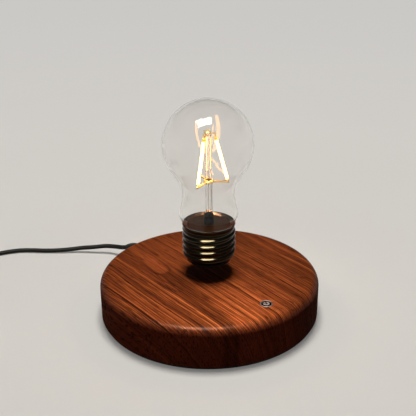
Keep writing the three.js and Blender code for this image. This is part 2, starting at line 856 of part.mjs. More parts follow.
function adapterBody() {
  const corner = 4;
  const bevel = 1;
  const across = adapter_width - 2 * bevel;
  const up = 2 * (coil_top - bevel);
  const outline = roundedRectangle(new THREE.Shape(), across, up, corner);
  const box = new THREE.ExtrudeGeometry(outline, {
    depth: adapter_length - 2 * bevel,
    bevelThickness: bevel,
    bevelSize: bevel,
    bevelSegments: 1,
    curveSegments: 3,
  }).rotateX(quarter_turn).translate(0, -bevel, coil_top);
  const relief_foot = 4.2;
  const relief_mouth = 2.3;
  const relief = turned([
    [0, -2],
    [relief_foot, -2],
    [relief_foot, 2],
    [relief_mouth, adapter_relief],
    [0, adapter_relief],
  ], 12).rotateX(-quarter_turn).translate(0, 0, coil_top);
  return join(box, [relief]);
}

add(adapter, "power_adapter", adapterBody(), black_plastic);

// Mains pins
const pin_radius = 2;
const pin_length = 19;
const pin_spacing = 18.6;
const pin = turned([
  [0, gap],
  [pin_radius, gap],
  [pin_radius, pin_length - 1],
  [pin_radius - 0.8, pin_length],
  [0, pin_length],
], 10).rotateX(quarter_turn);
[-pin_spacing / 2, pin_spacing / 2].forEach((x, k) => {
  add(adapter, `adapter_pin_${k + 1}`, pin, steel).position.set(x, -adapter_length, coil_top);
});

export default lamp;
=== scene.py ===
"""Looks of the levitating lamp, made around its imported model.

Metres, +Z up, in the model's frame: the button is at the front (-Y), the lead's socket at the back (+Y).
"""
import json
from math import atan2, cos, exp, pi, radians, sin

import bmesh
import bpy
from mathutils import Matrix, Quaternion, Vector


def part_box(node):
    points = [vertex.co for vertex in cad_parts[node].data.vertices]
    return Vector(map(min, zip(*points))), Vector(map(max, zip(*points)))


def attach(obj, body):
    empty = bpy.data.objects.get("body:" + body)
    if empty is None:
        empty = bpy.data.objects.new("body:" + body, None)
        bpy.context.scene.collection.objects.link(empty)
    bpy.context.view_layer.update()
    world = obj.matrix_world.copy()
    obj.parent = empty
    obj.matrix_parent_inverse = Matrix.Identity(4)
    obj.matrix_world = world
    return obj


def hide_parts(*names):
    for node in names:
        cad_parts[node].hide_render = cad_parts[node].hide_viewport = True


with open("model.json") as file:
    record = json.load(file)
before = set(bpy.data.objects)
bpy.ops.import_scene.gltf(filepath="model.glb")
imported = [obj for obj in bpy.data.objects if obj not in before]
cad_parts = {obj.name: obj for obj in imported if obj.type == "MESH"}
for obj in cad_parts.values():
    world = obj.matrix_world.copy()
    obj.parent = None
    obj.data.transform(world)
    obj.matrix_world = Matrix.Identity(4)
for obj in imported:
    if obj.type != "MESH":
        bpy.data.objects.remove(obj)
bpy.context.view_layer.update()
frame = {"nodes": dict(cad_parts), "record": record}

FULL_TURN = 2 * pi
TINY = 1e-6
SMOOTH_ANGLE = 35


def node_box(name):
    """A node's lowest and highest corners at rest, its centre and half its width."""
    low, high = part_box(name)
    return low, high, (low + high) / 2, (high.x - low.x) / 2


# Sizes that the pieces share, from the model's nodes
wood_low, wood_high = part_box("wood_base")
base_top = wood_high.z
plate_low, plate_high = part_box("base_plate")
bulb_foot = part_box("insulator_cup")[0].z
disc_low, disc_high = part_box("cap_disc")
post_low, post_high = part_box("stem_post")
button_centre = node_box("button_bezel")[2]


# Camera, at the photograph's view

camera_place = Vector((-0.28771, -0.36233, 0.27185))
camera_heading = Vector((0.6211, 0.7837, 0.0))
camera_pitch = radians(22.79)
camera_roll = radians(-0.55)
focal_length = 65.26
sensor_width = 36.0


def placed(name, data):
    """A new object in the scene."""
    made = bpy.data.objects.new(name, data)
    bpy.context.scene.collection.objects.link(made)
    return made


def aim(made, place, direction, roll):
    """Puts a camera or lamp at a place, turned to a direction and rolled about it."""
    made.location = place
    made.rotation_mode = "QUATERNION"
    made.rotation_quaternion = direction.to_track_quat("-Z", "Y") @ Quaternion((0, 0, 1), roll)


def make_camera():
    data = bpy.data.cameras.new("camera")
    data.lens = focal_length
    data.sensor_width = sensor_width
    camera = placed("camera", data)
    forward = camera_heading * cos(camera_pitch) - Vector((0, 0, sin(camera_pitch)))
    aim(camera, camera_place, forward, camera_roll)
    bpy.context.scene.camera = camera


make_camera()


# Meshes

def new_object(name, bm, smooth_angle=SMOOTH_ANGLE):
    """An object of this mesh, its faces turned out and smooth below the given angle."""
    bmesh.ops.recalc_face_normals(bm, faces=bm.faces)
    mesh = bpy.data.meshes.new(name)
    bm.to_mesh(mesh)
    bm.free()
    mesh.shade_smooth()
    mesh.set_sharp_from_angle(angle=radians(smooth_angle))
    return placed(name, mesh)


def polar(radius, angle):
    return radius * cos(angle), radius * sin(angle)


def arc(centre, radius, start, end, steps, squash=1.0):
    """Points from one angle to another round a centre. The squash flattens them."""
    angles = [start + (end - start) * k / steps for k in range(steps + 1)]
    return [(centre[0] + radius * cos(a), centre[1] + squash * radius * sin(a)) for a in angles]


def skin_rings(bm, rings, closed=False):
    """Faces between rings of corners; a ring of one corner is a point on the axis."""
    spans = list(zip(rings, rings[1:]))
    if closed:
        spans.append((rings[-1], rings[0]))
    sides = max(len(ring) for ring in rings)
    for low, high in spans:
        for k in range(sides):
            after = (k + 1) % sides
            corners = [low[k % len(low)], low[after % len(low)],
                       high[after % len(high)], high[k % len(high)]]
            corners = list(dict.fromkeys(corners))
            if len(corners) > 2:
                bm.faces.new(corners)


def skin_bar(bm, sections):
    """Faces along a bar's sections and over its two ends."""
    skin_rings(bm, sections)
    bm.faces.new(sections[0])
    bm.faces.new(sections[-1])


def add_box(bm, place, size):
    bmesh.ops.create_cube(bm, size=1, matrix=place @ Matrix.Diagonal((*size, 1)))


def revolve(outline, sides, closed=False, centre=(0, 0)):
    """A solid of revolution from (radius, height) points. An open outline starts and ends on the axis."""
    bm = bmesh.new()
    rings = []
    for radius, height in outline:
        count = 1 if radius < TINY else sides
        circle = arc(centre, radius, 0, FULL_TURN, sides)[:count]
        rings.append([bm.verts.new((*point, height)) for point in circle])
    skin_rings(bm, rings, closed)
    return bm


def cylinder(radius, low, high, sides, centre=(0, 0)):
    return revolve([(0, low), (radius, low), (radius, high), (0, high)], sides, centre=centre)


def rounded(outline, radius, steps=4):
    """The outline with each corner between its two ends rounded."""
    result = [outline[0]]
    for before, corner, after in zip(outline, outline[1:], outline[2:]):
        corner = Vector(corner)
        back, ahead = Vector(before) - corner, Vector(after) - corner
        reach = min(radius, 0.45 * back.length, 0.45 * ahead.length)
        start, end = corner + back.normalized() * reach, corner + ahead.normalized() * reach
        for k in range(steps + 1):
            t = k / steps
            result.append(tuple((1 - t) ** 2 * start + 2 * t * (1 - t) * corner + t ** 2 * end))
    return result + [outline[-1]]


def catmull(points, steps):
    """Points along the smooth curve through these points."""
    points = [Vector(p) for p in points]
    padded = [2 * points[0] - points[1], *points, 2 * points[-1] - points[-2]]
    result = []
    for a, b, c, d in zip(padded, padded[1:], padded[2:], padded[3:]):
        for k in range(steps):
            t = k / steps
            result.append(0.5 * (2 * b + (c - a) * t + (2 * a - 5 * b + 4 * c - d) * t ** 2
                                 + (3 * b - a - 3 * c + d) * t ** 3))
    return result + [points[-1]]


def sweep(points, radius_at, sides):
    """A closed round tube along points. radius_at gives its radius at each share of its length."""
    bm = bmesh.new()
    rings = []
    lengths = [0.0]
    for a, b in zip(points, points[1:]):
        lengths.append(lengths[-1] + (b - a).length)
    side = None
    for i, point in enumerate(points):
        along = (points[min(i + 1, len(points) - 1)] - points[max(i - 1, 0)]).normalized()
        side = (side or along.orthogonal()).normalized()
        side = (side - along * side.dot(along)).normalized()
        up = along.cross(side)
        circle = arc((0, 0), radius_at(lengths[i] / lengths[-1]), 0, FULL_TURN, sides)[:-1]
        rings.append([bm.verts.new(point + side * u + up * v) for u, v in circle])
    skin_rings(bm, [[bm.verts.new(points[0])], *rings, [bm.verts.new(points[-1])]])
    return bm


def carve(target, *cutters):
    """Cuts the cutters' solids out of the target and removes them."""
    for cutter in cutters:
        modifier = target.modifiers.new("cut", "BOOLEAN")
        modifier.operation = "DIFFERENCE"
        modifier.solver = "EXACT"
        modifier.object = cutter
    graph = bpy.context.evaluated_depsgraph_get()
    mesh = bpy.data.meshes.new_from_object(target.evaluated_get(graph))
    target.modifiers.clear()
    target.data = mesh
    mesh.set_sharp_from_angle(angle=radians(SMOOTH_ANGLE))
    for cutter in cutters:
        bpy.data.objects.remove(cutter)


def lay_along_y(piece, x, z, turn=-pi / 2):
    """Tips over a piece that stands round the Z axis, so that it lies along Y at this x and z."""
    piece.data.transform(Matrix.Translation((x, 0, z)) @ Matrix.Rotation(turn, 4, "X"))


def dress(piece, slot, body, *nodes, material=None):
    """Gives a piece its slot's material, or the material given, rides it on a body, and lets it stand for
    CAD nodes.
    """
    piece.data.materials.append(material or slot_materials[slot])
    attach(piece, body)
    if nodes:
        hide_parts(*nodes)
    return piece


def turned(name, outline, sides, slot, body, *nodes, corner=0.0, closed=False, centre=(0, 0),
           smooth_angle=SMOOTH_ANGLE, material=None):
    """A dressed solid of revolution. Its outline's corners are rounded by the given radius."""
    if corner:
        outline = rounded(outline, corner)
    made = new_object(name, revolve(outline, sides, closed, centre), smooth_angle)
    return dress(made, slot, body, *nodes, material=material)


# Lead: the free stretch from the strain relief to the coil, and the coil

lead_diameter = 0.0035
lead_exit = (-0.0005, 0.104, 0.0102)
coil_pitch = 0.004
coil_layers = 4
coil_turns = 8.294
coil_points_per_turn = 64
layer_change = 0.25
coil_mean_radius = 0.02
coil_centre = Vector((-0.119, 0.162))
coil_start_angle = radians(74)
table_gap = 0.00005
coil_low = lead_diameter / 2 + table_gap
coil_outer_radius = coil_mean_radius + coil_pitch * coil_turns / coil_layers / 2
tie_angle = radians(290)
tie_lift = 0.0011
tie_spread = 0.7
straight_gap = 0.0003
straight_length = 0.006
lead_in_adapter = 0.034


def smoothstep(value, low, high):
    t = min(max((value - low) / (high - low), 0.0), 1.0)
    return t * t * (3 - 2 * t)


def coil_point(turns):
    """A point of the coil: it spirals in and out in layers, and passes over the tie."""
    per_layer = coil_turns / coil_layers
    inward = per_layer - abs(turns % (2 * per_layer) - per_layer)
    angle = coil_start_angle + FULL_TURN * turns
    from_tie = abs((angle - tie_angle + 9 * pi) % FULL_TURN - pi)
    height = coil_low + tie_lift * exp(-((from_tie / tie_spread) ** 2))
    for layer in range(1, coil_layers):
        change = layer * per_layer
        height += coil_pitch * smoothstep(turns, change - layer_change, change + layer_change)
    x, y = polar(coil_outer_radius - coil_pitch * inward, angle)
    return Vector((coil_centre.x + x, coil_centre.y + y, height))


coil_heading = Vector((-sin(coil_start_angle), cos(coil_start_angle), 0.0))
straight_end = coil_point(0) - coil_heading * (lead_diameter + straight_gap)
straight_start = straight_end - coil_heading * straight_length

lead_route = [
    (-0.00052, 0.10427, 0.01007), (-0.0017, 0.1104, 0.0079),
    (-0.0044, 0.1173, 0.0069), (-0.009, 0.1242, 0.0062),
    (-0.0153, 0.1299, 0.0052), (-0.0235, 0.138, 0.0038),
    (-0.033, 0.145, 0.0026), (-0.0412, 0.1516, 0.0019),
    (-0.0484, 0.1576, coil_low), (-0.0553, 0.1642, coil_low),
    (-0.0628, 0.1698, coil_low), (-0.0708, 0.1733, coil_low),
    (-0.08, 0.1759, coil_low), (-0.09, 0.1787, coil_low),
    (straight_start.x, straight_start.y, coil_low), (straight_end.x, straight_end.y, coil_low),
]


def make_lead():
    """The lead's curve, which runs on a little way inside the adapter."""
    count = int(coil_turns * coil_points_per_turn) + 1
    coil = [coil_point(k / coil_points_per_turn) for k in range(count)]
    coil_end = coil_point(coil_turns)
    inside_adapter = coil_end - Vector((0, lead_diameter + lead_in_adapter, 0))
    points = catmull(lead_route, 8) + coil + [coil_end, inside_adapter]
    curve = bpy.data.curves.new("lead", "CURVE")
    curve.dimensions = "3D"
    curve.bevel_depth = lead_diameter / 2
    curve.bevel_resolution = 4
    curve.use_fill_caps = True
    spline = curve.splines.new("POLY")
    spline.points.add(len(points) - 1)
    for target, point in zip(spline.points, points):
        target.co = (*point, 1)
    spline.use_smooth = True
    return placed("lead", curve)


# Materials

class Nodes:
    """The nodes of a material or the sky, made by calls. Coordinates are the piece's own, in metres."""

    def __init__(self, owner):
        owner.use_nodes = True
        self.tree = owner.node_tree

    def node(self, kind, inputs=(), **settings):
        made = self.tree.nodes.new("ShaderNode" + kind)
        for key, value in settings.items():
            setattr(made, key, value)
        for key, value in dict(inputs).items():
            self.put(made.inputs[key], value)
        return made

    def put(self, socket, value):
        if isinstance(value, bpy.types.NodeSocket):
            self.tree.links.new(value, socket)
        else:
            socket.default_value = value

    def coordinates(self, scale=(1, 1, 1), turn=0.0):
        own = self.node("TexCoord").outputs["Object"]
        mapping = self.node("Mapping", {"Vector": own, "Scale": scale, "Rotation": (0, 0, turn)})
        return mapping.outputs[0]

    def math(self, operation, a, b=0.0, c=0.0):
        return self.node("Math", {0: a, 1: b, 2: c}, operation=operation).outputs[0]

    def times(self, a, b):
        return self.math("MULTIPLY", a, b)

    def scaled(self, value, factor, base):
        """The value times the factor, plus the base."""
        return self.math("MULTIPLY_ADD", value, factor, base)

    def from_half(self, value):
        return self.math("SUBTRACT", value, 0.5)

    def noise(self, vector, scale, detail=2.0, roughness=0.5):
        inputs = {"Vector": vector, "Scale": scale, "Detail": detail, "Roughness": roughness}
        return self.node("TexNoise", inputs).outputs[0]

    def line_noise(self, value, detail=2.0, roughness=0.5):
        inputs = {"W": value, "Scale": 1.0, "Detail": detail, "Roughness": roughness}
        return self.node("TexNoise", inputs, noise_dimensions="1D").outputs[0]

    def spread(self, value, low, high, to_low=0.0, to_high=1.0):
        """Carries low to to_low and high to to_high, and stays level beyond them."""
        inputs = {"Value": value, "From Min": low, "From Max": high, "To Min": to_low, "To Max": to_high}
        return self.node("MapRange", inputs).outputs[0]

    def ramp(self, value, stops):
        made = self.node("ValToRGB", {"Fac": value})
        elements = made.color_ramp.elements
        while len(elements) < len(stops):
            elements.new(0.5)
        for element, (place, colour) in zip(elements, stops):
            element.position = place
            element.color = (*colour, 1)
        return made.outputs[0]

    def blend(self, factor, a, b, mode="MIX"):
        made = self.node("Mix", data_type="RGBA", blend_type=mode)
        colours = [socket for socket in made.inputs if socket.type == "RGBA"]
        self.put(made.inputs[0], factor)
        for socket, value in zip(colours, (a, b)):
            self.put(socket, value if isinstance(value, bpy.types.NodeSocket) else (*value, 1))
        return next(socket for socket in made.outputs if socket.type == "RGBA")

    def split(self, vector):
        return self.node("SeparateXYZ", {0: vector}).outputs[:3]

    def scale_colour(self, colour, factor):
        made = self.node("VectorMath", {0: colour, "Scale": factor}, operation="SCALE")
        return made.outputs[0]

    def mound(self, values, place, size):
        """1 at a place, falling to 0 round it."""
        total = 0.0
        for value, middle, width in zip(values, place, size):
            offset = self.math("DIVIDE", self.math("SUBTRACT", value, middle), width)
            total = self.scaled(offset, offset, total)
        return self.math("EXPONENT", self.times(total, -1.0))

    def blend_values(self, factor, low, high):
        """low where the factor is 0, high where it is 1."""
        return self.scaled(factor, self.math("SUBTRACT", high, low), low)


class Shader(Nodes):
    """A material, whose standard surface the calls set."""

    def __init__(self, name, colour=(0.5, 0.5, 0.5), **settings):
        self.material = bpy.data.materials.new(name)
        super().__init__(self.material)
        self.surface = self.tree.nodes["Principled BSDF"]
        self.set("Base Color", (*colour, 1))
        for key, value in settings.items():
            self.set(key.replace("_", " "), value)

    def set(self, key, value):
        self.put(self.surface.inputs[key], value)

    def bump(self, height, strength, distance):
        inputs = {"Height": height, "Strength": strength, "Distance": distance}
        self.set("Normal", self.node("Bump", inputs).outputs[0])


# Walnut: a mark on the top is its place and its size, each across and along the grain

grain_turn = radians(1.5)
calm_patch = ((-0.025, 0.034), (0.016, 0.030))
smooth_patch = ((-0.034, -0.034), (0.016, 0.022))
# Pale wood with painted light: a painted glow near the button, partly paler wood, and a painted highlight
# on the front edge
pale_wood_and_painted_light = (((-0.010, -0.053), (0.021, 0.028)), ((-0.0285, -0.067), (0.015, 0.012)))
dark_streak = ((0.025, 0.013), (0.006, 0.080))
tongue_tip = (-0.0256, 0.0160)
tongue_width = 0.0054
tongue_lean = 0.1
tongue_tip_length = 0.007
bulge_height = 0.0055
bulge_width = 0.009
side_contrast = 0.48
# Painted shade: the sides are made darker and redder than the top
painted_side_shade = (0.76, 0.64, 0.95)
walnut_tones = [
    (0.03, (0.046, 0.0102, 0.0036)),
    (0.30, (0.118, 0.0262, 0.0082)),
    (0.50, (0.210, 0.0472, 0.0130)),
    (0.72, (0.315, 0.0735, 0.0190)),
    (0.97, (0.550, 0.1500, 0.0370)),
]


def walnut_tongue(made, x, y, slow):
    """A pale tongue of grain behind the middle: how it bends the layers, its area and its dark edge."""
    along = made.math("SUBTRACT", y, tongue_tip[1])
    across = made.math("SUBTRACT", made.scaled(along, -tongue_lean, x), tongue_tip[0])
    ridge = made.mound((across,), (0.0,), (bulge_width,))
    bulge = made.times(ridge, made.spread(along, -0.016, 0.020, 0.0, bulge_height))
    sideways = made.math("DIVIDE", across, tongue_width)
    towards_tip = made.spread(along, 0.0, tongue_tip_length, 1.0, 0.0)
    from_axis = made.math("SQRT", made.scaled(sideways, sideways, made.times(towards_tip, towards_tip)))
    from_axis = made.scaled(made.from_half(slow), 0.3, from_axis)
    area = made.spread(from_axis, 0.5, 1.0, 1.0, 0.0)
    near_tip = made.spread(along, 0.0, 0.030, 1.0, 0.25)
    edge = made.times(made.mound((from_axis,), (1.08,), (0.20,)), near_tip)
    return bulge, area, edge


def walnut_layers(made, x, z, bulge, calm, waves):
    """Each point's place in the steep layers, which lean at the left and waver less where calm."""
    lean = made.times(made.math("SUBTRACT", z, base_top), made.scaled(x, -4.5, 0.32))
    layers = made.math("SUBTRACT", made.math("ADD", x, lean), bulge)
    steady = made.scaled(calm, -0.8, 1.0)
    for wave, reach in waves:
        layers = made.scaled(made.times(made.from_half(wave), steady), reach, layers)
    return layers


def walnut_figure(made, layers, fibre, calm):
    """Fine lines, broad bands and fibres, light and dark about 0."""
    bands = made.line_noise(made.times(layers, 230), 3.0, 0.6)
    lines = made.line_noise(made.times(layers, 860), 3.0, 0.65)
    figure = made.times(made.from_half(lines), made.scaled(calm, -0.40, 0.44))
    figure = made.scaled(made.from_half(bands), 0.32, figure)
    return made.scaled(made.from_half(fibre), 0.24, figure)


def walnut_contrast(made, x, y, upright, smooth):
    """How strongly the figure shows: most at the front left, least on the sides."""
    contrast = made.spread(x, -0.05, 0.05, 1.75, 0.95)
    contrast = made.times(contrast, made.spread(y, -0.02, 0.04, 1.0, 0.6))
    contrast = made.times(contrast, made.scaled(smooth, -0.35, 1.0))
    return made.blend_values(made.spread(upright, 0.1, 0.8), side_contrast, contrast)


def walnut_shade(made, x, y, layers, on_top, calm, smooth, tongue, tongue_edge):
    """How light each region of the wood is."""
    patches = made.noise(made.coordinates((1, 0.35, 1), grain_turn), 28, 2.0)
    shade = made.spread(patches, 0.3, 0.7, 0.80, 1.18)
    # Painted light on the top: the glow near the button and the highlight on the front edge
    for patch in pale_wood_and_painted_light:
        shade = made.scaled(made.mound((x, y), *patch), on_top, shade)
    shade = made.scaled(made.mound((x, y), *dark_streak), -0.28, shade)
    shade = made.times(shade, made.spread(x, 0.0, 0.07, 1.04, 0.60))
    shade = made.times(shade, made.spread(y, 0.0, 0.06, 1.0, 0.74))
    for area in (calm, tongue):
        shade = made.scaled(area, 0.24, shade)
    shade = made.times(shade, made.scaled(tongue_edge, -0.5, 1.0))
    shade = made.scaled(smooth, 0.22, shade)
    broad = made.line_noise(made.scaled(layers, 62, 0.5), 1.0)
    return made.times(shade, made.spread(broad, 0.2, 0.8, 0.84, 1.18))


def walnut():
    """Oiled walnut, its grain along Y, darker towards the right, with painted shade on its sides, painted
    light near the button and on the front edge, and a polished round edge.
    """
    made = Shader("walnut", Roughness=0.42, Specular_IOR_Level=0.0, Coat_Roughness=0.33)
    x, y, z = made.split(made.coordinates(turn=grain_turn))
    upright = made.split(made.node("TexCoord").outputs["Normal"])[2]
    on_top = made.spread(upright, 0.1, 0.9)
    slow = made.noise(made.coordinates((1, 0.22, 0.4), grain_turn), 26, 2.0)
    quick = made.noise(made.coordinates((1, 0.10, 0.3), grain_turn), 120, 2.0)
    fibre = made.noise(made.coordinates((1, 0.022, 0.12), grain_turn), 1300, 3.0, 0.65)
    pores = made.noise(made.coordinates((1, 0.05, 0.3), grain_turn), 1700, 1.0)
    dark_pores = made.spread(pores, 0.56, 0.67, 1.0, 0.38)
    calm = made.mound((x, y), *calm_patch)
    smooth = made.mound((x, y), *smooth_patch)

    bulge, tongue, tongue_edge = walnut_tongue(made, x, y, slow)
    layers = walnut_layers(made, x, z, bulge, calm, ((slow, 0.014), (quick, 0.0028)))
    figure = walnut_figure(made, layers, fibre, calm)
    seen_figure = made.times(figure, walnut_contrast(made, x, y, upright, smooth))
    colour = made.ramp(made.spread(seen_figure, -0.16, 0.16), walnut_tones)

    shade = walnut_shade(made, x, y, layers, on_top, calm, smooth, tongue, tongue_edge)
    # Painted shade: the sides darken further towards the right
    painted_shade_right_side = made.blend_values(on_top, made.spread(x, -0.015, 0.02, 1.0, 0.6), 1.0)
    colour = made.scale_colour(colour, made.times(made.times(shade, dark_pores), painted_shade_right_side))
    # Painted shade on the sides, which are darker and redder than the top
    painted_shade_mix = made.blend(on_top, painted_side_shade, (1.0, 1.0, 1.0))
    made.set("Base Color", made.blend(1.0, colour, painted_shade_mix, "MULTIPLY"))
    made.set("Roughness", made.spread(figure, -0.15, 0.15, 0.46, 0.36))

    # The wood's warm lustre is strongest on the round edge, weak on the flat top and least on the sides
    polish = made.spread(upright, 0.1, 0.6, 0.10, 1.0)
    made.set("Coat Weight", made.times(polish, made.spread(upright, 0.7, 1.0, 0.16, 0.07)))
    made.set("Metallic", made.times(polish, made.spread(upright, 0.75, 1.0, 0.10, 0.0)))
    made.bump(made.math("ADD", fibre, dark_pores), 0.10, 0.0002)
    return made.material


def mottle(made, colour, variation, scale, extra=0.0):
    """Patches of a lighter and a darker tone of the colour, whose noise it returns."""
    patches = made.noise(made.coordinates(), scale, 3.0, 0.6)
    lighter = tuple(min(c * (1 + variation) + extra, 1.0) for c in colour)
    darker = tuple(c * (1 - variation) for c in colour)
    made.set("Base Color", made.blend(made.spread(patches, 0.3, 0.7), darker, lighter))
    return patches


def moulded(name, colour, roughness=0.5, grain=2500, depth=0.15, variation=0.25, **settings):
    """Plastic or rubber: fine moulded texture, and patches that differ a little in colour and gloss."""
    made = Shader(name, colour, Roughness=roughness, **settings)
    patches = mottle(made, colour, variation, 60, 0.002)
    made.set("Roughness", made.spread(patches, 0.3, 0.7, roughness - 0.05, roughness + 0.07))
    made.bump(made.noise(made.coordinates(), grain, 2.0), depth, 0.0001)
    return made.material


def metal(name, colour, roughness=0.25, grain=900, variation=0.15):
    """Metal with fine machining lines and patches of tarnish."""
    made = Shader(name, colour, Metallic=1.0, Roughness=roughness)
    mottle(made, colour, variation, 150)
    lines = made.noise(made.coordinates((1, 1, 0.04)), grain, 3.0, 0.6)
    made.set("Roughness", made.spread(lines, 0.3, 0.7, 0.8 * roughness, 1.25 * roughness))
    made.bump(lines, 0.04, 0.00005)
    return made.material


def clear_glass():
    """Blown glass, a little wavy, that lets the lamps' light through."""
    made = Shader("clear_glass", (0.985, 0.98, 0.97), Roughness=0.0, IOR=1.26, Transmission_Weight=1.0)
    made.bump(made.noise(made.coordinates((1, 1, 0.6)), 45, 1.0), 0.004, 0.001)
    clear = made.node("BsdfTransparent", {"Color": (0.97, 0.965, 0.955, 1)})
    in_shadow = made.node("LightPath").outputs["Is Shadow Ray"]
    shaders = {0: in_shadow, 1: made.surface.outputs[0], 2: clear.outputs[0]}
    mixed = made.node("MixShader", shaders)
    output = next(n for n in made.tree.nodes if n.type == "OUTPUT_MATERIAL")
    made.put(output.inputs["Surface"], mixed.outputs[0])
    return made.material


def lit_phosphor():
    """The lit part of a filament: a row of chips under a warm coating."""
    made = Shader("lit_phosphor", (1.0, 0.62, 0.2), Roughness=0.5, Emission_Strength=20.0)
    chips = made.noise(made.coordinates((0.2, 0.2, 1)), 1200, 1.0)
    made.set("Emission Color", made.ramp(chips, [(0.3, (1.0, 0.44, 0.07)), (0.7, (1.0, 0.50, 0.085))]))
    return made.material


def copper_winding():
    """Enamelled wire in level turns."""
    made = Shader("copper_winding", (0.72, 0.35, 0.16), Metallic=1.0, Roughness=0.3)
    wave = made.node("TexWave", {"Vector": made.coordinates(), "Scale": 350, "Distortion": 0.4},
                     bands_direction="Z")
    tones = [(0.0, (0.30, 0.11, 0.04)), (0.6, (0.78, 0.40, 0.2))]
    made.set("Base Color", made.ramp(wave.outputs[1], tones))
    made.bump(wave.outputs[1], 0.5, 0.0002)
    return made.material


def circuit_board():
    """Green lacquer with paler tracks between its cells."""
    made = Shader("circuit_board", (0.03, 0.16, 0.06), Roughness=0.35)
    cells = made.node("TexVoronoi", {"Vector": made.coordinates((1, 1, 0)), "Scale": 300},
                      distance="CHEBYCHEV", feature="DISTANCE_TO_EDGE")
    tones = [(0.05, (0.10, 0.32, 0.12)), (0.12, (0.02, 0.12, 0.045))]
    made.set("Base Color", made.ramp(cells.outputs[0], tones))
    made.bump(cells.outputs[0], 0.2, 0.0001)
    return made.material


print_grey = moulded("print_grey", (0.46, 0.34, 0.32), 0.5, variation=0.06)
post_black = moulded("post_black", (0.0022, 0.0012, 0.001), 0.45, Specular_IOR_Level=0.08)
filament_end = moulded("filament_end", (0.75, 0.34, 0.03), 0.5, variation=0.12,
                       Emission_Color=(1.0, 0.55, 0.06, 1), Emission_Strength=0.5)
lit = lit_phosphor()
bracket_metal = metal("bracket_metal", (0.90, 0.68, 0.38), 0.42, grain=2500)
satin_nickel = metal("satin_nickel", (0.054, 0.020, 0.007), 0.38, grain=1500, variation=0.2)
ring_nickel = metal("ring_nickel", (0.17, 0.095, 0.060), 0.24, grain=1500)

slot_materials = {
    "walnut": walnut(),
    "black_plastic": moulded("black_plastic", (0.008, 0.007, 0.0065), 0.5, Specular_IOR_Level=0.15),
    "button_face": moulded("button_face", (0.002, 0.002, 0.0018), 0.35, grain=900, depth=0.03,
                           Specular_IOR_Level=0.05),
    "black_rubber": moulded("black_rubber", (0.009, 0.008, 0.0075), 0.6, grain=1800, depth=0.2,
                            Specular_IOR_Level=0.2),
    "circuit_board": circuit_board(),
    "ferrite": moulded("ferrite", (0.055, 0.055, 0.058), 0.5, grain=3500, depth=0.3),
    "copper_wire": copper_winding(),
    "white_nylon": moulded("white_nylon", (0.72, 0.70, 0.64), 0.5, variation=0.06),
    "bright_steel": metal("bright_steel", (0.62, 0.60, 0.57)),
    "bezel_metal": metal("bezel_metal", (0.38, 0.285, 0.265), 0.5, grain=2500),
    "black_nickel": metal("black_nickel", (0.034, 0.0275, 0.0170), 0.13, grain=500, variation=0.2),
    "clear_glass": clear_glass(),
    "phosphor": moulded("yellow_phosphor", (0.85, 0.42, 0.06), 0.5, variation=0.12),
}


def dress_nodes():
    """Every CAD node that stays takes its slot's material."""
    for entry in frame["record"]["subparts"]:
        node = frame["nodes"][entry["node"]]
        node.data.materials.clear()
        node.data.materials.append(slot_materials[entry["material_slot"]])


dress_nodes()


# Base: the turned wood, the plate under it, its feet and screws

base_radius = wood_high.x
edge_fillet = 0.0064
pocket_radius = 0.066
pocket_ceiling = 0.024
recess_radius = 0.04
recess_ceiling = 0.0267
button_bore = 0.00425
bore_low, bore_high = 0.02, 0.04
plug_bore = 0.006
plug_bore_start, plug_bore_end = 0.06, 0.08
jack_height = 0.015
plate_floor = 0.0038
foot_gap = 0.0003
sink_outline = [(0, 0), (0.0031, 0), (0.0031, 0.0006), (0.0016, 0.0018), (0.0016, 0.005), (0, 0.005)]


def make_wood():
    """The turned body: hollow below, round at the top edge, with bores for button and plug."""
    fillet = arc((base_radius - edge_fillet, base_top - edge_fillet), edge_fillet, 0, pi / 2, 24)
    chamfer = 0.0008
    inside = [(0, recess_ceiling), (recess_radius, recess_ceiling), (recess_radius, pocket_ceiling),
              (pocket_radius, pocket_ceiling), (pocket_radius, wood_low.z),
              (base_radius - chamfer, wood_low.z), (base_radius, wood_low.z + chamfer)]
    outline = rounded(inside + [fillet[0]], 0.0006) + fillet + [(0, base_top)]
    wood = new_object("walnut_body", revolve(outline, 256))
    bore = new_object("bore", cylinder(button_bore, bore_low, bore_high, 96, button_centre))
    hole = new_object("hole", cylinder(plug_bore, plug_bore_start, plug_bore_end, 64))
    lay_along_y(hole, 0, jack_height)
    carve(wood, bore, hole)
    dress(wood, "walnut", "base", "wood_base")


def make_plate():
    """The plate under the wood, with recesses for the feet and sinks for the screws."""
    edge = 0.0004
    radius, pocket = plate_high.x, pocket_radius - edge
    outline = [(0, plate_low.z), (radius - edge, plate_low.z), (radius, plate_low.z + edge),
               (radius, wood_low.z), (pocket, wood_low.z), (pocket, plate_floor), (0, plate_floor)]
    plate = new_object("bottom_plate", revolve(rounded(outline, 0.0002), 192))
    cutters = []
    for k in range(1, 5):
        _, high, centre, foot_radius = node_box(f"foot_{k}")
        cutters.append(new_object("recess", cylinder(foot_radius + foot_gap, 0, high.z, 64, centre)))
        centre = node_box(f"plate_screw_{k}")[2]
        cutters.append(new_object("sink", revolve(sink_outline, 48, centre=centre)))
    carve(plate, *cutters)
    dress(plate, "black_plastic", "base", "base_plate")


def make_feet():
    """Rubber feet, each with a shallow groove near its rim."""
    for k in range(1, 5):
        _, high, centre, radius = node_box(f"foot_{k}")
        outline = [(0, 0.0), (radius - 0.002, 0.0), (radius - 0.0015, 0.0001), (radius - 0.001, 0.0),
                   (radius, 0.0004), (radius, high.z), (0, high.z)]
        turned(f"rubber_foot_{k}", outline, 64, "black_rubber", "base", f"foot_{k}", corner=0.0004,
               centre=centre)


